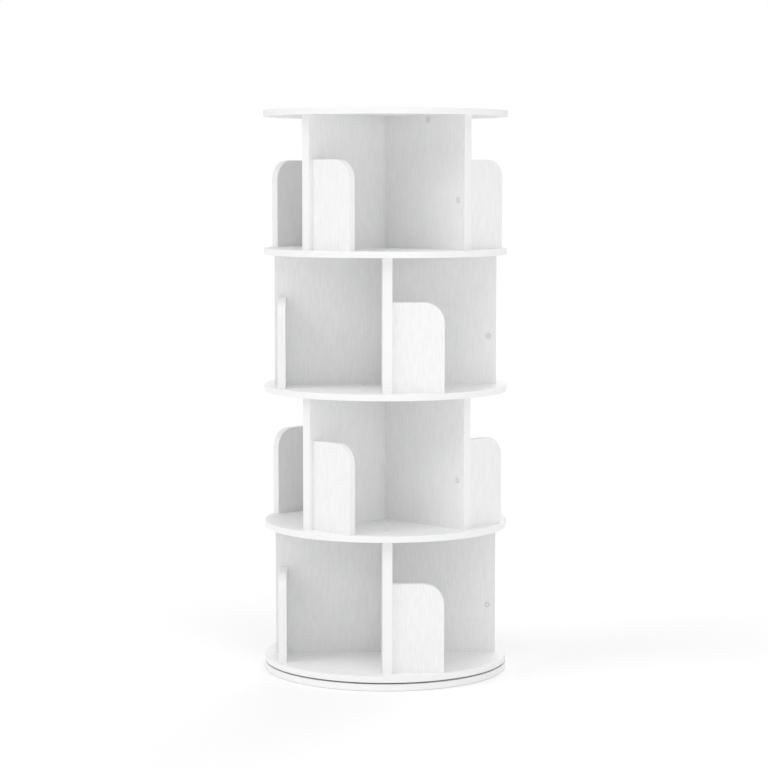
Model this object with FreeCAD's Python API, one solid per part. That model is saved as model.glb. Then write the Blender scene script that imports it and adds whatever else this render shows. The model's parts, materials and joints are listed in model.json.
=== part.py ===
import FreeCAD, Part
import math
import os

# Revolving bookcase: four tiers of open compartments on one turning tower, which stands on a fixed round
# base. Millimetres, +Z up. The origin is on the floor, under the axis that the tower turns about.
# A tier is two boards crossed at the middle. A short book stop stands on the counter-clockwise face of
# each arm, seen from above. Each tier is turned from the one below it.

# Boards
DISC_RADIUS = 230.0
DISC_THICK = 12.0
BASE_THICK = 12.0
DIVIDER_THICK = 18.0
DIVIDER_SETBACK = 20.0
TIER_CLEAR_HEIGHT = 246.0
TIER_COUNT = 4
TIER_TURN_DEG = 45.0
STOP_THICK = 15.0
STOP_LENGTH = 95.0
STOP_HEIGHT = 165.0
STOP_CORNER_RADIUS = 37.0
STOP_SETBACK = 8.0
EDGE_BAND_THICK = 1.0
BAND_ARRIS_RADIUS = 0.8
LAP_CLEARANCE = 0.15

# Floor pads
PAD_RADIUS = 15.0
PAD_THICK = 1.0
PAD_COUNT = 6
PAD_EDGE_DISTANCE = 32.0

# Swivel bearing
SWIVEL_GAP = 3.0
POCKET_DEPTH = 6.0
POCKET_CLEARANCE = 1.5
PLATE_RADIUS = 100.0
PLATE_THICK = 2.5
BALL_RADIUS = 3.0
BALL_COUNT = 24
RACE_FROM_EDGE = 20.0
RACE_CLEARANCE = 0.15
CAGE_HALF_WIDTH = 6.0
CAGE_THICK = 1.6
CAGE_CLEARANCE = 0.05
RIVET_RADIUS = 6.0
RIVET_BORE_RADIUS = 3.5
RIVET_HEAD_RADIUS = 9.5
RIVET_HEAD_THICK = 1.5
RIVET_RUNNING_CLEARANCE = 0.08
RIVET_END_PLAY = 0.3
RECESS_CLEARANCE = 1.0
LOWER_SCREWS_FROM_RACE = 20.0
UPPER_SCREWS_FROM_LOWER = 22.0
PLATE_SCREW_COUNT = 4
PLATE_SCREW_ANGLE_DEG = 45.0
ACCESS_HOLE_RADIUS = 5.0

# Countersunk screws that hold the swivel plates
PLATE_SCREW_RADIUS = 2.0
PLATE_SCREW_HEAD_RADIUS = 4.0
PLATE_SCREW_HEAD_DEPTH = 2.0
LOWER_SCREW_WALL = 1.0
UPPER_SCREW_WALL = 3.0

# Board screws, with a flat countersunk head and a hexagon socket
SCREW_RADIUS = 3.0
SCREW_HEAD_RADIUS = 5.0
SCREW_HEAD_DEPTH = 3.0
SCREW_LENGTH = 50.0
SOCKET_ACROSS_FLATS = 4.0
SOCKET_DEPTH = 2.5
FASTENER_CLEARANCE = 0.05
SCREW_INNER_RADIUS = 60.0
SCREW_FROM_END = 40.0
STOP_FOOT_FROM_END = 25.0
STOP_SIDE_SCREW_HEIGHT = 91.0

# Cover caps
CAP_OVERLAP = 0.5
CAP_RIM = 0.5
CAP_THICK = 1.0

# Dowels
DOWEL_RADIUS = 4.0
STOP_DOWEL_HEIGHT = 35.0
STOP_DOWEL_DEPTH = 18.0
DIVIDER_DOWEL_WALL = 6.0
TOP_DOWEL_WALL = 4.0
TOP_DOWEL_FOOT = 22.0
TOP_DOWEL_INNER_RADIUS = 60.0
TOP_DOWEL_FROM_END = 45.0

# Cam fittings under the top disc
CAM_RADIUS = 5.0
CAM_END_WALL = 0.5
CAM_BELOW_DISC = 7.5
CAM_FROM_END = 91.0
CAM_BOLT_RADIUS = 3.0
CAM_BOLT_WALL = 3.0
CAM_NECK_RADIUS = 2.0
CAM_BALL_RADIUS = 3.0

# Heights that follow
BASE_BOTTOM = PAD_THICK
BASE_TOP = BASE_BOTTOM + BASE_THICK
TOWER_BOTTOM = BASE_TOP + SWIVEL_GAP
TIER_PITCH = DISC_THICK + TIER_CLEAR_HEIGHT
POCKET_FLOOR = BASE_TOP - POCKET_DEPTH
BALL_HEIGHT = (POCKET_FLOOR + TOWER_BOTTOM) / 2

# The base's rim lines up with the shelf discs' rims
BASE_RADIUS = DISC_RADIUS

# Sizes of the swivel that follow
RACE_RADIUS = PLATE_RADIUS - RACE_FROM_EDGE
RACE_GROOVE_RADIUS = BALL_RADIUS + RACE_CLEARANCE
LOWER_SCREW_CIRCLE = RACE_RADIUS - LOWER_SCREWS_FROM_RACE
UPPER_SCREW_CIRCLE = LOWER_SCREW_CIRCLE - UPPER_SCREWS_FROM_LOWER
LOWER_SCREW_LENGTH = PLATE_THICK + BASE_THICK - POCKET_DEPTH - LOWER_SCREW_WALL
UPPER_SCREW_LENGTH = PLATE_THICK + DISC_THICK - UPPER_SCREW_WALL

# Places in a tier that follow: an arm runs along +X, its stop stands on the +Y side
ARM_ANGLES_DEG = (0.0, 90.0, 180.0, 270.0)
HALF_THICK = DIVIDER_THICK / 2
DIVIDER_REACH = DISC_RADIUS - DIVIDER_SETBACK
SCREW_OUTER_RADIUS = DIVIDER_REACH - SCREW_FROM_END
STOP_OUTER = DIVIDER_REACH - STOP_SETBACK
STOP_MIDDLE = STOP_OUTER - STOP_THICK / 2
STOP_END = HALF_THICK + STOP_LENGTH
DIVIDER_DOWEL_DEPTH = DIVIDER_THICK - DIVIDER_DOWEL_WALL
TOP_DOWEL_DEPTH = DISC_THICK - TOP_DOWEL_WALL
TOP_DOWEL_OUTER_RADIUS = DIVIDER_REACH - TOP_DOWEL_FROM_END
CAM_ARM_RADIUS = DIVIDER_REACH - CAM_FROM_END
CAM_DEPTH = HALF_THICK + CAM_BALL_RADIUS + CAM_END_WALL
CAM_BOLT_DEPTH = DISC_THICK - CAM_BOLT_WALL

HEXAGON_SIDES = 6
QUARTER_ARC_MIDDLE = math.pi / 4

UP = FreeCAD.Vector(0, 0, 1)
DOWN = FreeCAD.Vector(0, 0, -1)
ALONG_ARM = FreeCAD.Vector(1, 0, 0)
TO_STOP = FreeCAD.Vector(0, 1, 0)
ORIGIN = FreeCAD.Vector(0, 0, 0)


def at(x, y, z):
    return FreeCAD.Vector(x, y, z)


def turned(shape, degrees):
    """A copy of the shape, turned about the tower's axis."""
    copy = shape.copy()
    copy.rotate(ORIGIN, UP, degrees)
    return copy


def ring_of(shape, count, first_deg=0.0):
    """Copies of the shape, evenly spaced about the tower's axis."""
    return [turned(shape, first_deg + index * 360.0 / count) for index in range(count)]


def cylinder(radius, length, start, direction=UP):
    return Part.makeCylinder(radius, length, start, direction)


def box(x_low, x_high, y_low, y_high, z_low, z_high):
    size = (x_high - x_low, y_high - y_low, z_high - z_low)
    return Part.makeBox(*size, at(x_low, y_low, z_low))


def round_edge_band(radius, thickness, bottom):
    """The band round a disc, with both of its outer arrises rounded."""
    disc = cylinder(radius, thickness, bottom)
    rims = [edge for edge in disc.Edges if edge.Closed]
    rounded = disc.makeFillet(BAND_ARRIS_RADIUS, rims)
    return rounded.cut(cylinder(radius - EDGE_BAND_THICK, thickness, bottom))


def export(name, shapes):
    """One file for a node, which holds one solid or a group of separate solids."""
    solids = [solid for shape in shapes for solid in shape.Solids]
    shape = solids[0] if len(solids) == 1 else Part.makeCompound(solids)
    shape.exportStep(os.path.join("parts", name + ".step"))


# Fasteners

def countersunk(radius, head_radius, head_depth, length, face, direction):
    """A screw whose head lies flush with the board at the point face, and which points along direction."""
    head = Part.makeCone(head_radius, radius, head_depth, face, direction)
    shank = cylinder(radius, length, face, direction)
    return head.fuse(shank).removeSplitter()


def board_screw(face, direction):
    screw = countersunk(SCREW_RADIUS, SCREW_HEAD_RADIUS, SCREW_HEAD_DEPTH, SCREW_LENGTH, face, direction)
    side_angle = 2 * math.pi / HEXAGON_SIDES
    corner_radius = SOCKET_ACROSS_FLATS / (2 * math.cos(side_angle / 2))
    corners = [at(corner_radius * math.cos(side * side_angle), corner_radius * math.sin(side * side_angle), 0)
               for side in range(HEXAGON_SIDES + 1)]
    socket = Part.Face(Part.makePolygon(corners)).extrude(UP * SOCKET_DEPTH)
    socket.Placement = FreeCAD.Placement(face, FreeCAD.Rotation(UP, direction))
    return screw.cut(socket)


def board_screw_hole(face, direction):
    return countersunk(SCREW_RADIUS + FASTENER_CLEARANCE, SCREW_HEAD_RADIUS + FASTENER_CLEARANCE,
                       SCREW_HEAD_DEPTH, SCREW_LENGTH + FASTENER_CLEARANCE, face, direction)


def plate_screw(length, face, direction):
    return countersunk(PLATE_SCREW_RADIUS, PLATE_SCREW_HEAD_RADIUS, PLATE_SCREW_HEAD_DEPTH,
                       length, face, direction)


def plate_screw_hole(length, face, direction):
    return countersunk(PLATE_SCREW_RADIUS + FASTENER_CLEARANCE, PLATE_SCREW_HEAD_RADIUS + FASTENER_CLEARANCE,
                       PLATE_SCREW_HEAD_DEPTH, length + FASTENER_CLEARANCE, face, direction)


def cover_cap(covered_radius, face, direction):
    """A round cap with a sloping rim, which lies on the board over a screw or a cam."""
    radius = covered_radius + CAP_OVERLAP
    foot = cylinder(radius, CAP_THICK - CAP_RIM, face, direction)
    crown = Part.makeCone(radius, radius - CAP_RIM, CAP_RIM,
                          face + direction * (CAP_THICK - CAP_RIM), direction)
    return foot.fuse(crown).removeSplitter()


# Fixed base and swivel bearing

def access_hole():
    """The way in for a screwdriver, from under the base to the upper plate's screws."""
    return cylinder(ACCESS_HOLE_RADIUS, TOWER_BOTTOM, at(UPPER_SCREW_CIRCLE, 0, 0))


def lower_screw_place():
    return at(LOWER_SCREW_CIRCLE, 0, POCKET_FLOOR + PLATE_THICK)


def upper_screw_place():
    return at(UPPER_SCREW_CIRCLE, 0, TOWER_BOTTOM - PLATE_THICK)


def on_screw_angles(shape):
    return ring_of(shape, PLATE_SCREW_COUNT, PLATE_SCREW_ANGLE_DEG)


def lower_screw_holes():
    return on_screw_angles(plate_screw_hole(LOWER_SCREW_LENGTH, lower_screw_place(), DOWN))


def upper_screw_holes():
    return on_screw_angles(plate_screw_hole(UPPER_SCREW_LENGTH, upper_screw_place(), UP))


def race_groove():
    return Part.makeTorus(RACE_RADIUS, RACE_GROOVE_RADIUS, at(0, 0, BALL_HEIGHT))


def make_base_disc():
    disc = cylinder(BASE_RADIUS - EDGE_BAND_THICK, BASE_THICK, at(0, 0, BASE_BOTTOM))
    pocket = cylinder(PLATE_RADIUS + POCKET_CLEARANCE, POCKET_DEPTH, at(0, 0, POCKET_FLOOR))
    head_recess_depth = RIVET_HEAD_THICK + RECESS_CLEARANCE
    head_recess = cylinder(RIVET_HEAD_RADIUS + RECESS_CLEARANCE, head_recess_depth,
                           at(0, 0, POCKET_FLOOR - head_recess_depth))
    return disc.cut([pocket, head_recess, access_hole()] + lower_screw_holes())


def make_base_edge_band():
    return round_edge_band(BASE_RADIUS, BASE_THICK, at(0, 0, BASE_BOTTOM))


def make_floor_pads():
    pad = cylinder(PAD_RADIUS, PAD_THICK, at(BASE_RADIUS - PAD_EDGE_DISTANCE, 0, 0))
    return ring_of(pad, PAD_COUNT)


def make_lower_plate():
    plate = cylinder(PLATE_RADIUS, PLATE_THICK, at(0, 0, POCKET_FLOOR))
    rivet_hole = cylinder(RIVET_RADIUS + FASTENER_CLEARANCE, PLATE_THICK, at(0, 0, POCKET_FLOOR))
    return plate.cut([race_groove(), rivet_hole, access_hole()] + lower_screw_holes())


def make_upper_plate():
    bottom = TOWER_BOTTOM - PLATE_THICK
    plate = cylinder(PLATE_RADIUS, PLATE_THICK, at(0, 0, bottom))
    rivet_hole = cylinder(RIVET_RADIUS + RIVET_RUNNING_CLEARANCE, PLATE_THICK, at(0, 0, bottom))
    driver_hole = cylinder(ACCESS_HOLE_RADIUS, PLATE_THICK, at(LOWER_SCREW_CIRCLE, 0, bottom))
    return plate.cut([race_groove(), rivet_hole] + on_screw_angles(driver_hole) + upper_screw_holes())


def make_pivot_rivet():
    """A hollow rivet, tight in the lower plate, that the upper plate turns on and can't lift off."""
    lower_head = cylinder(RIVET_HEAD_RADIUS, RIVET_HEAD_THICK, at(0, 0, POCKET_FLOOR - RIVET_HEAD_THICK))
    shank = cylinder(RIVET_RADIUS, TOWER_BOTTOM + RIVET_END_PLAY - POCKET_FLOOR, at(0, 0, POCKET_FLOOR))
    upper_head = cylinder(RIVET_HEAD_RADIUS, RIVET_HEAD_THICK, at(0, 0, TOWER_BOTTOM + RIVET_END_PLAY))
    bore_length = TOWER_BOTTOM + RIVET_END_PLAY - POCKET_FLOOR + 2 * RIVET_HEAD_THICK
    bore = cylinder(RIVET_BORE_RADIUS, bore_length, at(0, 0, POCKET_FLOOR - RIVET_HEAD_THICK))
    return lower_head.fuse([shank, upper_head]).removeSplitter().cut(bore)


def make_bearing_balls():
    return ring_of(Part.makeSphere(BALL_RADIUS, at(RACE_RADIUS, 0, BALL_HEIGHT)), BALL_COUNT)


def make_ball_cage():
    bottom = BALL_HEIGHT - CAGE_THICK / 2
    ring = cylinder(RACE_RADIUS + CAGE_HALF_WIDTH, CAGE_THICK, at(0, 0, bottom))
    middle = cylinder(RACE_RADIUS - CAGE_HALF_WIDTH, CAGE_THICK, at(0, 0, bottom))
    ball_hole = cylinder(BALL_RADIUS + CAGE_CLEARANCE, CAGE_THICK, at(RACE_RADIUS, 0, bottom))
    return ring.cut([middle] + ring_of(ball_hole, BALL_COUNT))


# A tier, in its own place: the arms along +X, +Y, -X and -Y before the tier is turned

def tier_angle(tier):
    return tier * TIER_TURN_DEG


def disc_bottom(tier):
    return TOWER_BOTTOM + tier * TIER_PITCH


def shelf_height(tier):
    return disc_bottom(tier) + DISC_THICK


def on_arms(shapes, tier):
    """The shapes of one arm, repeated on every arm of a tier."""
    return [turned(shape, tier_angle(tier) + arm_angle) for shape in shapes for arm_angle in ARM_ANGLES_DEG]


def arm_screw_places(height):
    return [at(radius, 0, height) for radius in (SCREW_INNER_RADIUS, SCREW_OUTER_RADIUS)]


def stop_foot_place(height):
    return at(STOP_MIDDLE, STOP_END - STOP_FOOT_FROM_END, height)


def stop_side_place(tier):
    return at(STOP_MIDDLE, -HALF_THICK, shelf_height(tier) + STOP_SIDE_SCREW_HEIGHT)


def foot_holes(tier):
    """Screw holes up through a shelf disc, into the dividers and stops that stand on it."""
    bottom = disc_bottom(tier)
    places = arm_screw_places(bottom) + [stop_foot_place(bottom)]
    return on_arms([board_screw_hole(place, UP) for place in places], tier)


def head_holes(tier):
    """Screw holes down through the disc above a tier, into the dividers under it."""
    places = arm_screw_places(shelf_height(tier + 1))
    return on_arms([board_screw_hole(place, DOWN) for place in places], tier)


def side_holes(tier):
    return on_arms([board_screw_hole(stop_side_place(tier), TO_STOP)], tier)


def stop_dowel(tier, clearance=0.0):
    start = HALF_THICK - DIVIDER_DOWEL_DEPTH - clearance
    length = DIVIDER_DOWEL_DEPTH + STOP_DOWEL_DEPTH + 2 * clearance
    place = at(STOP_MIDDLE, start, shelf_height(tier) + STOP_DOWEL_HEIGHT)
    return cylinder(DOWEL_RADIUS + clearance, length, place, TO_STOP)


def top_dowels(clearance=0.0):
    """The dowels of one arm between the last tier's dividers and the top disc."""
    start = disc_bottom(TIER_COUNT) - TOP_DOWEL_FOOT - clearance
    length = TOP_DOWEL_FOOT + TOP_DOWEL_DEPTH + 2 * clearance
    return [cylinder(DOWEL_RADIUS + clearance, length, at(radius, 0, start))
            for radius in (TOP_DOWEL_INNER_RADIUS, TOP_DOWEL_OUTER_RADIUS)]


def cam_height():
    return disc_bottom(TIER_COUNT) - CAM_BELOW_DISC


def cam_face():
    return at(CAM_ARM_RADIUS, -HALF_THICK, cam_height())


def cam_bolt(clearance=0.0):
    """The steel bolt that stands in the top disc and ends in a ball inside the cam."""
    underside = at(CAM_ARM_RADIUS, 0, disc_bottom(TIER_COUNT))
    centre = at(CAM_ARM_RADIUS, 0, cam_height())
    thread = cylinder(CAM_BOLT_RADIUS + clearance, CAM_BOLT_DEPTH + clearance, underside)
    neck = cylinder(CAM_NECK_RADIUS + clearance, CAM_BELOW_DISC, centre)
    ball = Part.makeSphere(CAM_BALL_RADIUS + clearance, centre)
    return thread.fuse([neck, ball]).removeSplitter()


def cam_housing(clearance=0.0):
    return cylinder(CAM_RADIUS + clearance, CAM_DEPTH + clearance, cam_face(), TO_STOP)


def cam_bolt_way():
    """The bore down through the divider's top edge and the cam, which the bolt and its ball go into."""
    radius = CAM_BALL_RADIUS + FASTENER_CLEARANCE
    return cylinder(radius, CAM_BELOW_DISC + radius, at(CAM_ARM_RADIUS, 0, cam_height() - radius))


def make_shelf_disc(tier):
    disc = cylinder(DISC_RADIUS - EDGE_BAND_THICK, DISC_THICK, at(0, 0, disc_bottom(tier)))
    cuts = foot_holes(tier)
    if tier > 0:
        cuts += head_holes(tier - 1)
    if tier == 0:
        recess_depth = RIVET_HEAD_THICK + RIVET_END_PLAY + RECESS_CLEARANCE
        cuts.append(cylinder(RIVET_HEAD_RADIUS + RECESS_CLEARANCE, recess_depth, at(0, 0, TOWER_BOTTOM)))
        cuts += upper_screw_holes()
    return disc.cut(cuts)


def make_top_disc():
    disc = cylinder(DISC_RADIUS - EDGE_BAND_THICK, DISC_THICK, at(0, 0, disc_bottom(TIER_COUNT)))
    fittings = [cam_bolt(FASTENER_CLEARANCE)] + top_dowels(FASTENER_CLEARANCE)
    return disc.cut(on_arms(fittings, TIER_COUNT - 1))


def make_disc_edge_band(tier):
    return round_edge_band(DISC_RADIUS, DISC_THICK, at(0, 0, disc_bottom(tier)))


def divider_cuts(tier):
    """Every hole that fasteners make in the two crossed boards of a tier."""
    cuts = foot_holes(tier) + side_holes(tier) + on_arms([stop_dowel(tier, FASTENER_CLEARANCE)], tier)
    if tier < TIER_COUNT - 1:
        return cuts + head_holes(tier)
    fittings = [cam_housing(FASTENER_CLEARANCE), cam_bolt_way()] + top_dowels(FASTENER_CLEARANCE)
    return cuts + on_arms(fittings, tier)


def make_divider(tier, slot_at_top):
    """One board across the whole tier, halved at the middle where it crosses the other."""
    shelf = shelf_height(tier)
    reach = DIVIDER_REACH - EDGE_BAND_THICK
    board = box(-reach, reach, -HALF_THICK, HALF_THICK, shelf, shelf + TIER_CLEAR_HEIGHT)
    half_slot = HALF_THICK + LAP_CLEARANCE
    middle = shelf + TIER_CLEAR_HEIGHT / 2
    slot_low = middle - LAP_CLEARANCE / 2 if slot_at_top else shelf
    slot_high = shelf + TIER_CLEAR_HEIGHT if slot_at_top else middle + LAP_CLEARANCE / 2
    board = board.cut(box(-half_slot, half_slot, -HALF_THICK, HALF_THICK, slot_low, slot_high))
    board_angle = ARM_ANGLES_DEG[0] if slot_at_top else ARM_ANGLES_DEG[1]
    return turned(board, tier_angle(tier) + board_angle).cut(divider_cuts(tier))


def make_divider_edge_bands(tier):
    """The band down each arm's end, with its two outer upright arrises rounded."""
    shelf = shelf_height(tier)
    band = box(DIVIDER_REACH - EDGE_BAND_THICK, DIVIDER_REACH, -HALF_THICK, HALF_THICK,
               shelf, shelf + TIER_CLEAR_HEIGHT)
    arrises = [edge for edge in band.Edges
               if edge.BoundBox.ZLength > TIER_CLEAR_HEIGHT / 2
               and edge.CenterOfMass.x > DIVIDER_REACH - EDGE_BAND_THICK / 2]
    return on_arms([band.makeFillet(BAND_ARRIS_RADIUS, arrises)], tier)


def stop_slab(shelf, inset):
    """The stop's outline, drawn in by inset along its top, corner and free edge, and made thick."""
    end = STOP_END - inset
    top = shelf + STOP_HEIGHT - inset
    radius = STOP_CORNER_RADIUS - inset
    lean = radius * math.cos(QUARTER_ARC_MIDDLE)
    x = STOP_OUTER - STOP_THICK
    corner = Part.Arc(at(x, end, top - radius),
                      at(x, end - radius + lean, top - radius + lean),
                      at(x, end - radius, top)).toShape()
    foot = Part.makePolygon([at(x, end - radius, top), at(x, HALF_THICK, top), at(x, HALF_THICK, shelf),
                             at(x, end, shelf), at(x, end, top - radius)])
    outline = Part.Wire([corner] + foot.Edges)
    return Part.Face(outline).extrude(ALONG_ARM * STOP_THICK)


def make_stop(tier, arm_angle):
    shelf = shelf_height(tier)
    holes = [board_screw_hole(stop_foot_place(disc_bottom(tier)), UP),
             board_screw_hole(stop_side_place(tier), TO_STOP),
             stop_dowel(tier, FASTENER_CLEARANCE)]
    return turned(stop_slab(shelf, EDGE_BAND_THICK).cut(holes), tier_angle(tier) + arm_angle)


def make_stop_edge_bands(tier):
    """The band over each stop's top, corner and free edge, with its outer arrises rounded."""
    shelf = shelf_height(tier)
    slab = stop_slab(shelf, 0.0)
    arrises = [edge for edge in slab.Edges
               if edge.BoundBox.XLength < STOP_THICK / 2
               and edge.CenterOfMass.z > shelf + EDGE_BAND_THICK
               and edge.CenterOfMass.y > HALF_THICK + EDGE_BAND_THICK]
    return on_arms([slab.makeFillet(BAND_ARRIS_RADIUS, arrises).cut(stop_slab(shelf, EDGE_BAND_THICK))], tier)


def make_fasteners():
    """Each kind of small part, as one node of separate solids."""
    foot_screws = []
    head_screws = []
    head_caps = []
    stop_foot_screws = []
    stop_side_screws = []
    stop_caps = []
    stop_dowels = []
    for tier in range(TIER_COUNT):
        bottom = disc_bottom(tier)
        foot_screws += on_arms([board_screw(place, UP) for place in arm_screw_places(bottom)], tier)
        stop_foot_screws += on_arms([board_screw(stop_foot_place(bottom), UP)], tier)
        stop_side_screws += on_arms([board_screw(stop_side_place(tier), TO_STOP)], tier)
        stop_caps += on_arms([cover_cap(SCREW_HEAD_RADIUS, stop_side_place(tier), -TO_STOP)], tier)
        stop_dowels += on_arms([stop_dowel(tier)], tier)
        if tier < TIER_COUNT - 1:
            places = arm_screw_places(shelf_height(tier + 1))
            head_screws += on_arms([board_screw(place, DOWN) for place in places], tier)
            head_caps += on_arms([cover_cap(SCREW_HEAD_RADIUS, place, UP) for place in places], tier)
    last = TIER_COUNT - 1
    cam = cam_housing().cut(cam_bolt_way())
    return {
        "divider_foot_screws": foot_screws,
        "divider_head_screws": head_screws,
        "head_screw_caps": head_caps,
        "stop_foot_screws": stop_foot_screws,
        "stop_side_screws": stop_side_screws,
        "stop_screw_caps": stop_caps,
        "stop_dowels": stop_dowels,
        "top_disc_dowels": on_arms(top_dowels(), last),
        "cam_locks": on_arms([cam], last),
        "cam_bolts": on_arms([cam_bolt()], last),
        "cam_caps": on_arms([cover_cap(CAM_RADIUS, cam_face(), -TO_STOP)], last),
    }


def make_base():
    return {
        "base_disc": [make_base_disc()],
        "base_edge_band": [make_base_edge_band()],
        "floor_pads": make_floor_pads(),
        "swivel_lower_plate": [make_lower_plate()],
        "lower_plate_screws": on_screw_angles(plate_screw(LOWER_SCREW_LENGTH, lower_screw_place(), DOWN)),
        "pivot_rivet": [make_pivot_rivet()],
        "bearing_balls": make_bearing_balls(),
        "ball_cage": [make_ball_cage()],
        "swivel_upper_plate": [make_upper_plate()],
        "upper_plate_screws": on_screw_angles(plate_screw(UPPER_SCREW_LENGTH, upper_screw_place(), UP)),
    }


def make_tower():
    nodes = {}
    disc_bands = []
    divider_bands = []
    stop_bands = []
    for tier in range(TIER_COUNT):
        number = tier + 1
        nodes[f"shelf_disc_{number}"] = [make_shelf_disc(tier)]
        nodes[f"divider_lower_{number}"] = [make_divider(tier, slot_at_top=True)]
        nodes[f"divider_upper_{number}"] = [make_divider(tier, slot_at_top=False)]
        for arm, arm_angle in enumerate(ARM_ANGLES_DEG):
            nodes[f"book_stop_{number}_{arm + 1}"] = [make_stop(tier, arm_angle)]
        disc_bands.append(make_disc_edge_band(tier))
        divider_bands += make_divider_edge_bands(tier)
        stop_bands += make_stop_edge_bands(tier)
    nodes["top_disc"] = [make_top_disc()]
    disc_bands.append(make_disc_edge_band(TIER_COUNT))
    nodes["disc_edge_bands"] = disc_bands
    nodes["divider_edge_bands"] = divider_bands
    nodes["stop_edge_bands"] = stop_bands
    return nodes


def main():
    os.makedirs("parts", exist_ok=True)
    for nodes in (make_base(), make_tower(), make_fasteners()):
        for name, shapes in nodes.items():
            export(name, shapes)


main()
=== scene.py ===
"""The revolving bookcase's finish, small moulded pieces, light and camera, in metres."""

import json
import math

import bmesh
import bpy
from mathutils import Matrix, Vector


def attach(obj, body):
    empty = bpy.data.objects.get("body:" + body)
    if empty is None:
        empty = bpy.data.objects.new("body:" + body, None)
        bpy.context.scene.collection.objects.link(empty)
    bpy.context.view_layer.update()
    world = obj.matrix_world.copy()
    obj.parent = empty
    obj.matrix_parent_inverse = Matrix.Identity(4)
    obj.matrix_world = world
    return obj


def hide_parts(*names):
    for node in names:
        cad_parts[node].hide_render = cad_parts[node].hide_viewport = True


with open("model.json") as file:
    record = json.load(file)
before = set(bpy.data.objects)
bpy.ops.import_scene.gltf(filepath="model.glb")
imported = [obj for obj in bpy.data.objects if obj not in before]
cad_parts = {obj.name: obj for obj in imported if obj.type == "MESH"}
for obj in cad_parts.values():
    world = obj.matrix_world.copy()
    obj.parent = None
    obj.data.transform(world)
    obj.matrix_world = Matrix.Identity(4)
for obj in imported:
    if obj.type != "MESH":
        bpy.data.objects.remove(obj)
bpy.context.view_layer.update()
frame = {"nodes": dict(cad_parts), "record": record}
NODES = frame["nodes"]
RECORD = frame["record"]
UP = Vector((0.0, 0.0, 1.0))

# The camera: far off, a little lower than the top disc and looking slightly down. The tower is
# seen turned by a degree.
CAMERA_DISTANCE = 4.390
CAMERA_HEIGHT = 0.9374
CAMERA_AZIMUTH_DEG = 1.0
CAMERA_PITCH_DEG = 5.134
CAMERA_YAW_DEG = 0.037
FOCAL_PIXELS = 2317.2
IMAGE_WIDTH_PIXELS = 768
SENSOR_WIDTH_MM = 36.0

# Light and floor. Each far light has its azimuth and elevation in degrees, and its strength.
SKY_STRENGTH = 0.59
BACKDROP_STRENGTH = 1.0
KEY_LIGHT = (-70.0, 40.0, 0.82)
FRONT_LIGHT = (20.0, 58.0, 0.72)
BACK_LIGHT = (160.0, 35.0, 0.9)
FAR_LIGHT_SPREAD_DEG = 45.0
SOFTBOX_PLACE = (0.5, -1.5, 0.85)
SOFTBOX_AIM = (0.0, 0.0, 0.45)
SOFTBOX_SIZE = 0.8
SOFTBOX_POWER_W = 2.1
FLOOR_RADIUS = 400.0
FLOOR_SIDES = 96
FLOOR_GLOW = 0.23

# The melamine's grain. Each noise has its scale per metre across the grain, and the share of that
# scale along it.
GRAIN_FIBRES = {"scale": 580.0, "detail": 2.0, "along": 0.06, "distortion": 0.2}
GRAIN_PORES = {"scale": 900.0, "detail": 1.0, "along": 0.08}
GRAIN_TONE = {"scale": 11.0, "detail": 2.0, "along": 0.18}

# The axes that a grain can run along
X_AXIS = 0
Z_AXIS = 2

# Cover caps: a button, a ring groove round it, painted darker as its shade, and a thin rim. Each
# corner of the profile has its radius and height as shares of the cap's own.
CAP_SIDES = 40
CAP_BUTTON = ((0.0, 1.0), (0.32, 1.0), (0.38, 0.92))
CAP_GROOVE = ((0.42, 0.30), (0.46, 0.22), (0.82, 0.22), (0.86, 0.30), (0.89, 0.85))
CAP_RIM = ((0.92, 0.95), (0.96, 0.85), (1.0, 0.45), (1.0, 0.0))

# Floor pads: the radius of their rounded arrises, and its steps
PAD_SIDES = 48
PAD_ROUNDING = 0.0004
PAD_ROUNDING_STEPS = 4

BALL_SUBDIVISIONS = 3

# Reading the CAD meshes, and the angle from which an edge of the new pieces is shaded sharp
WELD_DISTANCE = 1e-6
SPREAD_TOLERANCE = 1e-6
LEVEL_TOLERANCE = 1e-5
WAYS_IN_HALF_TURN = 8
SHARP_ANGLE_DEG = 50.0


# Materials

def new_material(name, roughness):
    """A material with its Principled shader; gives the material, its node tree and the shader."""
    material = bpy.data.materials.new(name)
    material.use_nodes = True
    tree = material.node_tree
    shader = tree.nodes["Principled BSDF"]
    shader.inputs["Roughness"].default_value = roughness
    return material, tree, shader


def add_noise(tree, scale, detail, stretch=(1.0, 1.0, 1.0), distortion=0.0):
    """Noise in the object's own metres, stretched per axis; gives the factor's socket."""
    place = tree.nodes.new("ShaderNodeTexCoord")
    mapping = tree.nodes.new("ShaderNodeMapping")
    mapping.inputs["Scale"].default_value = stretch
    noise = tree.nodes.new("ShaderNodeTexNoise")
    noise.inputs["Scale"].default_value = scale
    noise.inputs["Detail"].default_value = detail
    noise.inputs["Distortion"].default_value = distortion
    tree.links.new(place.outputs["Object"], mapping.inputs["Vector"])
    tree.links.new(mapping.outputs["Vector"], noise.inputs["Vector"])
    return noise.outputs["Fac"]


def add_grain_noise(tree, axis, scale, detail, along, distortion=0.0):
    """Noise drawn out along one axis, where it has only a share of its scale."""
    stretch = [1.0, 1.0, 1.0]
    stretch[axis] = along
    return add_noise(tree, scale, detail, stretch, distortion)


def add_range(tree, value, low, high, to_low=0.0, to_high=1.0):
    """The value, carried from one range to another and held there."""
    node = tree.nodes.new("ShaderNodeMapRange")
    node.inputs["From Min"].default_value = low
    node.inputs["From Max"].default_value = high
    node.inputs["To Min"].default_value = to_low
    node.inputs["To Max"].default_value = to_high
    tree.links.new(value, node.inputs["Value"])
    return node.outputs["Result"]


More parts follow.
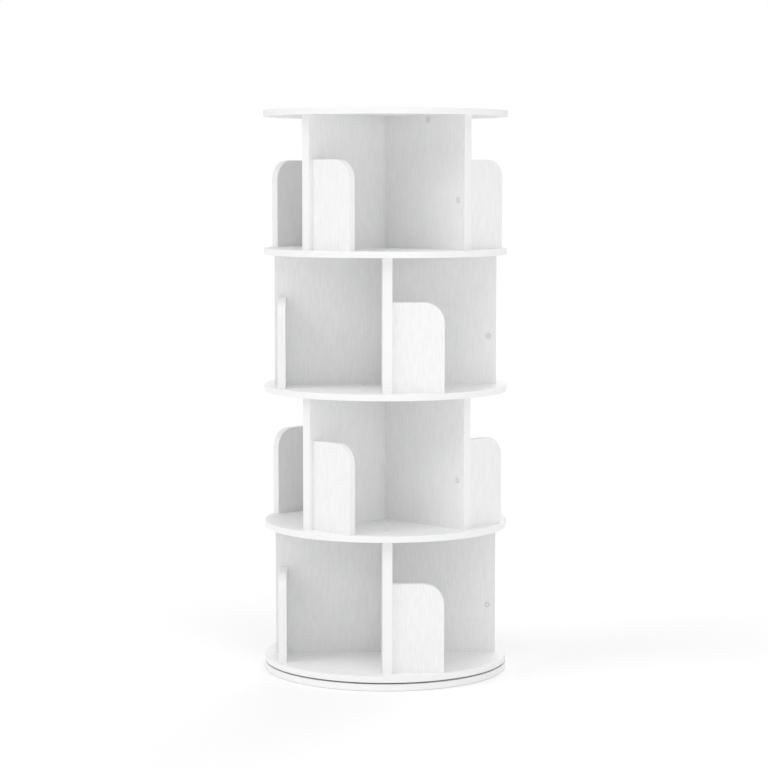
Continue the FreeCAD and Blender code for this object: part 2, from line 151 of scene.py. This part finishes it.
def add_product(tree, first, second):
    """One value times the other."""
    node = tree.nodes.new("ShaderNodeMath")
    node.operation = "MULTIPLY"
    tree.links.new(first, node.inputs[0])
    tree.links.new(second, node.inputs[1])
    return node.outputs["Value"]


def colour_between(tree, shader, factor, dark, light):
    """The base colour, from dark where the factor is 0 to light where it is 1."""
    mix = tree.nodes.new("ShaderNodeMix")
    mix.data_type = "RGBA"
    mix.inputs["A"].default_value = (*dark, 1.0)
    mix.inputs["B"].default_value = (*light, 1.0)
    tree.links.new(factor, mix.inputs["Factor"])
    tree.links.new(mix.outputs["Result"], shader.inputs["Base Color"])


def add_bump(tree, shader, height, strength, distance):
    """Relief in the shading alone, which follows a height from 0 to 1."""
    bump = tree.nodes.new("ShaderNodeBump")
    bump.inputs["Strength"].default_value = strength
    bump.inputs["Distance"].default_value = distance
    tree.links.new(height, bump.inputs["Height"])
    tree.links.new(bump.outputs["Normal"], shader.inputs["Normal"])


def melamine(name, grain_axis):
    """White melamine with a fine embossed wood grain along one axis.

    The grain has long fibres, short pores and a broad change of tone.
    """
    material, tree, shader = new_material(name, roughness=0.46)
    fibres = add_grain_noise(tree, grain_axis, **GRAIN_FIBRES)
    pores = add_grain_noise(tree, grain_axis, **GRAIN_PORES)
    tone = add_grain_noise(tree, grain_axis, **GRAIN_TONE)
    fibres = add_range(tree, fibres, low=0.30, high=0.62)
    pores = add_range(tree, pores, low=0.26, high=0.46)
    tone = add_range(tree, tone, low=0.3, high=0.7, to_low=0.96)
    surface = add_product(tree, add_product(tree, fibres, tone), pores)
    colour_between(tree, shader, surface, (0.815, 0.818, 0.818), (0.885, 0.887, 0.885))
    roughness = add_range(tree, surface, low=0.0, high=1.0, to_low=0.54, to_high=0.42)
    tree.links.new(roughness, shader.inputs["Roughness"])
    add_bump(tree, shader, surface, strength=0.35, distance=0.00012)
    return material


def edge_band():
    """Plain white edge band: even in colour, with the faint ripple that a trimmer leaves."""
    material, tree, shader = new_material("edge_band_finish", roughness=0.36)
    ripple = add_noise(tree, scale=420.0, detail=2.0)
    colour_between(tree, shader, ripple, (0.865, 0.867, 0.866), (0.885, 0.886, 0.885))
    add_bump(tree, shader, ripple, strength=0.10, distance=0.00004)
    return material


def moulded_plastic(name, dark, light, roughness, texture_scale, bump_distance):
    """Moulded plastic or foam rubber: fine pits, in two near colours."""
    material, tree, shader = new_material(name, roughness)
    pits = add_noise(tree, texture_scale, detail=4.0)
    colour_between(tree, shader, pits, dark, light)
    add_bump(tree, shader, pits, strength=0.4, distance=bump_distance)
    return material


def plated_metal(name, dark, light, roughness, texture_scale):
    """Plated or cast metal: cloudy tone, and roughness that varies with it by up to a fifth."""
    material, tree, shader = new_material(name, roughness)
    shader.inputs["Metallic"].default_value = 1.0
    cloud = add_noise(tree, texture_scale, detail=5.0)
    colour_between(tree, shader, cloud, dark, light)
    varied = add_range(tree, cloud, low=0.2, high=0.8,
                       to_low=roughness * 0.8, to_high=roughness * 1.2)
    tree.links.new(varied, shader.inputs["Roughness"])
    return material


def beech():
    """Plain beech dowel: fine flecks along its length."""
    material, tree, shader = new_material("beech_finish", roughness=0.6)
    flecks = add_grain_noise(tree, Z_AXIS, scale=700.0, detail=3.0, along=0.1)
    colour_between(tree, shader, flecks, (0.56, 0.38, 0.21), (0.70, 0.51, 0.31))
    add_bump(tree, shader, flecks, strength=0.3, distance=0.0001)
    return material


def studio_floor():
    """A plain pale floor that glows faintly, with the slightest variation of a painted sheet."""
    material, tree, shader = new_material("floor_finish", roughness=0.9)
    mottle = add_noise(tree, scale=3.0, detail=2.0)
    colour_between(tree, shader, mottle, (0.715, 0.715, 0.715), (0.725, 0.725, 0.725))
    shader.inputs["Specular IOR Level"].default_value = 0.0
    shader.inputs["Emission Color"].default_value = (1.0, 1.0, 1.0, 1.0)
    shader.inputs["Emission Strength"].default_value = FLOOR_GLOW
    return material


def make_finishes():
    """The finish of each material slot of the record."""
    return {
        "melamine_board": melamine("upright_melamine_finish", Z_AXIS),
        "edge_band": edge_band(),
        "cover_cap": moulded_plastic(
            "cover_cap_finish", (0.83, 0.827, 0.820), (0.87, 0.867, 0.860),
            roughness=0.42, texture_scale=1500.0, bump_distance=0.00003),
        "zinc_plated_steel": plated_metal(
            "zinc_plate_finish", (0.50, 0.51, 0.53), (0.68, 0.69, 0.70),
            roughness=0.34, texture_scale=60.0),
        "screw_steel": plated_metal(
            "screw_finish", (0.52, 0.52, 0.53), (0.68, 0.68, 0.68),
            roughness=0.30, texture_scale=300.0),
        "cam_alloy": plated_metal(
            "cam_finish", (0.44, 0.45, 0.46), (0.60, 0.61, 0.62),
            roughness=0.50, texture_scale=200.0),
        "ball_steel": plated_metal(
            "ball_finish", (0.70, 0.70, 0.71), (0.78, 0.78, 0.79),
            roughness=0.10, texture_scale=400.0),
        "cage_plastic": moulded_plastic(
            "cage_finish", (0.020, 0.020, 0.022), (0.035, 0.035, 0.038),
            roughness=0.5, texture_scale=900.0, bump_distance=0.00004),
        "beech_dowel": beech(),
        "floor_pad": moulded_plastic(
            "floor_pad_finish", (0.60, 0.60, 0.59), (0.72, 0.72, 0.71),
            roughness=0.85, texture_scale=1100.0, bump_distance=0.00012),
    }


def dress_nodes(finishes):
    """Gives every CAD node the finish of its slot; the discs' grain runs along X."""
    disc_finish = melamine("disc_melamine_finish", X_AXIS)
    for part in RECORD["subparts"]:
        node = NODES[part["node"]]
        finish = finishes[part["material_slot"]]
        if part["material_slot"] == "melamine_board" and "disc" in part["node"]:
            finish = disc_finish
        if not node.material_slots:
            node.data.materials.append(finish)
        for slot in node.material_slots:
            slot.material = finish


# Small moulded pieces

def solids_of(node):
    """The separate solids of a CAD node, each as the list of its corners."""
    mesh = NODES[node].data
    work = bmesh.new()
    work.from_mesh(mesh)
    bmesh.ops.remove_doubles(work, verts=work.verts, dist=WELD_DISTANCE)
    unseen = set(work.verts)
    solids = []
    while unseen:
        start = min(unseen, key=lambda vertex: vertex.index)
        stack = [start]
        unseen.discard(start)
        corners = []
        while stack:
            vertex = stack.pop()
            corners.append(vertex.co.copy())
            for edge in vertex.link_edges:
                other = edge.other_vert(vertex)
                if other in unseen:
                    unseen.discard(other)
                    stack.append(other)
        solids.append(corners)
    work.free()
    return solids


def middle_of(corners):
    """The middle of the corners' box."""
    low = Vector([min(corner[axis] for corner in corners) for axis in range(3)])
    high = Vector([max(corner[axis] for corner in corners) for axis in range(3)])
    return (low + high) / 2


def off_axis(offset, way):
    """How far an offset leads away from the axis that runs along a way."""
    return (offset - way * offset.dot(way)).length


def add_ring(target, radius, height, sides, placement):
    """One ring of a turned solid's corners, or the single corner that it has on its axis."""
    if radius == 0.0:
        return [target.verts.new(placement @ Vector((0.0, 0.0, height)))]
    ring = []
    for side in range(sides):
        angle = 2 * math.pi * side / sides
        place = Vector((radius * math.cos(angle), radius * math.sin(angle), height))
        ring.append(target.verts.new(placement @ place))
    return ring


def lathe(target, profile, sides, placement, painted_shade_steps=()):
    """Adds a turned solid to the mesh, along a profile of (radius, height).

    The profile runs from the top's middle to the bottom's rim. The steps of it that the last
    argument numbers get the mesh's second material, a darker colour painted as shade.
    """
    rings = [add_ring(target, radius, height, sides, placement) for radius, height in profile]
    for step, (upper, lower) in enumerate(zip(rings, rings[1:])):
        for side in range(sides):
            after = (side + 1) % sides
            if len(upper) == 1:
                face = target.faces.new((upper[0], lower[side], lower[after]))
            else:
                face = target.faces.new((upper[side], lower[side], lower[after], upper[after]))
            # The listed steps take the second material, which paints the groove's shade.
            face.material_index = 1 if step in painted_shade_steps else 0
    target.faces.new(list(reversed(rings[-1])))


def add_piece(name, mesh_work, body, slot, finish, *nodes):
    """Makes an object of the mesh, which rides on a body and stands for CAD nodes."""
    bmesh.ops.recalc_face_normals(mesh_work, faces=mesh_work.faces)
    mesh = bpy.data.meshes.new(name)
    mesh_work.to_mesh(mesh)
    mesh_work.free()
    mesh.shade_smooth()
    mesh.set_sharp_from_angle(angle=math.radians(SHARP_ANGLE_DEG))
    mesh.materials.append(finish)
    piece = bpy.data.objects.new(name, mesh)
    bpy.context.scene.collection.objects.link(piece)
    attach(piece, body)
    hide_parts(*nodes)
    return piece


def disc_placement(corners, out):
    """Where a disc that faces out lies: the middle of its foot, its radius and its thickness."""
    along = [corner.dot(out) for corner in corners]
    foot = min(along)
    thickness = max(along) - foot
    middle = middle_of(corners)
    centre = middle + out * (foot - middle.dot(out))
    radius = max(off_axis(corner - centre, out) for corner in corners)
    return centre, radius, thickness


def thinnest_way(corners):
    """The outward direction of a flat round cap.

    It is the way in which the cap is thinnest, towards its smaller face.
    """
    centre = sum(corners, Vector()) / len(corners)
    angles = [step * math.pi / WAYS_IN_HALF_TURN for step in range(WAYS_IN_HALF_TURN)]
    best_spread, best_way = math.inf, None
    for way in [Vector((math.cos(angle), math.sin(angle), 0.0)) for angle in angles] + [UP]:
        reach = [corner.dot(way) for corner in corners]
        spread = max(reach) - min(reach)
        if spread < best_spread - SPREAD_TOLERANCE:
            best_spread, best_way = spread, way
    heights = [(corner - centre).dot(best_way) for corner in corners]
    radii = [off_axis(corner - centre, best_way) for corner in corners]
    top, foot = max(heights), min(heights)
    top_radius = max(radius for radius, height in zip(radii, heights)
                     if height > top - LEVEL_TOLERANCE)
    foot_radius = max(radius for radius, height in zip(radii, heights)
                      if height < foot + LEVEL_TOLERANCE)
    return best_way if top_radius < foot_radius else -best_way


def make_caps(name, node, finish, groove_painted_shade):
    """Caps with a button and a ring groove painted darker as shade, in the places of a node's
    plain ones.
    """
    work = bmesh.new()
    shares = CAP_BUTTON + CAP_GROOVE + CAP_RIM
    groove_steps = range(len(CAP_BUTTON) - 1, len(CAP_BUTTON) + len(CAP_GROOVE) - 1)
    for corners in solids_of(node):
        out = thinnest_way(corners)
        centre, radius, thickness = disc_placement(corners, out)
        profile = [(share * radius, height * thickness) for share, height in shares]
        turn = out.to_track_quat("Z", "Y").to_matrix().to_4x4()
        lathe(work, profile, CAP_SIDES, Matrix.Translation(centre) @ turn, groove_steps)
    caps = add_piece(name, work, "tower", "cover_cap", finish, node)
    # The second material paints the groove darker, as the shade in it.
    caps.data.materials.append(groove_painted_shade)


def pad_profile(radius, thickness):
    """A foam pad's profile: its upper arris rounded, then its lower one."""
    profile = [(0.0, thickness)]
    for middle, turn in ((thickness - PAD_ROUNDING, 1), (PAD_ROUNDING, 0)):
        for step in range(PAD_ROUNDING_STEPS + 1):
            angle = math.pi / 2 * (turn - step / PAD_ROUNDING_STEPS)
            profile.append((radius - PAD_ROUNDING + PAD_ROUNDING * math.cos(angle),
                            middle + PAD_ROUNDING * math.sin(angle)))
    return profile


def make_floor_pads(finishes):
    """Foam pads with soft arrises, in the places of the plain ones."""
    work = bmesh.new()
    for corners in solids_of("floor_pads"):
        centre, radius, thickness = disc_placement(corners, UP)
        lathe(work, pad_profile(radius, thickness), PAD_SIDES, Matrix.Translation(centre))
    add_piece("foam_floor_pads", work, "base", "floor_pad", finishes["floor_pad"], "floor_pads")


def make_balls(finishes):
    """Smooth bearing balls, in the places of the faceted ones."""
    work = bmesh.new()
    for corners in solids_of("bearing_balls"):
        centre = middle_of(corners)
        radius = max((corner - centre).length for corner in corners)
        bmesh.ops.create_icosphere(work, subdivisions=BALL_SUBDIVISIONS, radius=radius,
                                   matrix=Matrix.Translation(centre))
    add_piece("polished_bearing_balls", work, "ball_set", "ball_steel", finishes["ball_steel"],
              "bearing_balls")


# Stage

def make_floor():
    """A round floor, so wide that its rim lies at the horizon."""
    work = bmesh.new()
    bmesh.ops.create_circle(work, cap_ends=True, radius=FLOOR_RADIUS, segments=FLOOR_SIDES)
    mesh = bpy.data.meshes.new("floor")
    work.to_mesh(mesh)
    work.free()
    mesh.materials.append(studio_floor())
    floor = bpy.data.objects.new("floor", mesh)
    bpy.context.scene.collection.objects.link(floor)


def make_sky():
    """Even white light from all round; the camera itself sees a plain white backdrop."""
    world = bpy.data.worlds.new("studio")
    world.use_nodes = True
    tree = world.node_tree
    background = tree.nodes["Background"]
    background.inputs["Color"].default_value = (1.0, 1.0, 1.0, 1.0)
    seen = tree.nodes.new("ShaderNodeLightPath")
    strength = tree.nodes.new("ShaderNodeMapRange")
    strength.inputs["To Min"].default_value = SKY_STRENGTH
    strength.inputs["To Max"].default_value = BACKDROP_STRENGTH
    tree.links.new(seen.outputs["Is Camera Ray"], strength.inputs["Value"])
    tree.links.new(strength.outputs["Result"], background.inputs["Strength"])
    bpy.context.scene.world = world


def add_lamp(name, light, towards):
    """Places a light in the scene, shining a given way."""
    lamp = bpy.data.objects.new(name, light)
    lamp.rotation_euler = towards.to_track_quat("-Z", "Y").to_euler()
    bpy.context.scene.collection.objects.link(lamp)
    return lamp


def add_far_light(name, azimuth_deg, elevation_deg, strength):
    """A wide soft light from far off.

    Azimuth 0 is the camera's side, and a negative one is to the left of it.
    """
    light = bpy.data.lights.new(name, "SUN")
    light.energy = strength
    light.angle = math.radians(FAR_LIGHT_SPREAD_DEG)
    azimuth, elevation = math.radians(azimuth_deg), math.radians(elevation_deg)
    add_lamp(name, light, Vector((-math.sin(azimuth) * math.cos(elevation),
                                  math.cos(azimuth) * math.cos(elevation),
                                  -math.sin(elevation))))


def add_softbox():
    """A square soft light near the tower, which reaches into the bays from the front."""
    light = bpy.data.lights.new("softbox", "AREA")
    light.size = SOFTBOX_SIZE
    light.energy = SOFTBOX_POWER_W
    lamp = add_lamp("softbox", light, Vector(SOFTBOX_AIM) - Vector(SOFTBOX_PLACE))
    lamp.location = SOFTBOX_PLACE


def make_lights():
    """Three far lights and the softbox."""
    add_far_light("key", *KEY_LIGHT)
    add_far_light("front", *FRONT_LIGHT)
    add_far_light("back", *BACK_LIGHT)
    add_softbox()


def make_camera():
    """The photograph's viewpoint and its angle of view."""
    azimuth = math.radians(CAMERA_AZIMUTH_DEG)
    data = bpy.data.cameras.new("camera")
    data.sensor_width = SENSOR_WIDTH_MM
    data.lens = FOCAL_PIXELS * SENSOR_WIDTH_MM / IMAGE_WIDTH_PIXELS
    camera = bpy.data.objects.new("camera", data)
    camera.location = (-CAMERA_DISTANCE * math.sin(azimuth),
                       -CAMERA_DISTANCE * math.cos(azimuth),
                       CAMERA_HEIGHT)
    camera.rotation_euler = (math.radians(90.0 - CAMERA_PITCH_DEG), 0.0,
                             -azimuth + math.radians(CAMERA_YAW_DEG))
    bpy.context.scene.collection.objects.link(camera)
    bpy.context.scene.camera = camera


def set_view():
    """Plain colours, so that white melamine is shown as bright as it is lit."""
    bpy.context.scene.view_settings.view_transform = "Standard"


def main():
    """Dresses the CAD nodes, then adds the moulded pieces and the stage."""
    finishes = make_finishes()
    dress_nodes(finishes)
    # Painted shade: the grooves get this darker colour for the shadow in the gap round each cap.
    cap_groove = moulded_plastic(
        "cap_groove_painted_shade", (0.68, 0.675, 0.665), (0.73, 0.725, 0.715),
        roughness=0.60, texture_scale=1500.0, bump_distance=0.00003)
    for name, node in (("moulded_stop_caps", "stop_screw_caps"),
                       ("moulded_head_caps", "head_screw_caps"),
                       ("moulded_cam_caps", "cam_caps")):
        make_caps(name, node, finishes["cover_cap"], cap_groove)
    make_floor_pads(finishes)
    make_balls(finishes)
    make_floor()
    make_sky()
    make_lights()
    make_camera()
    set_view()


main()
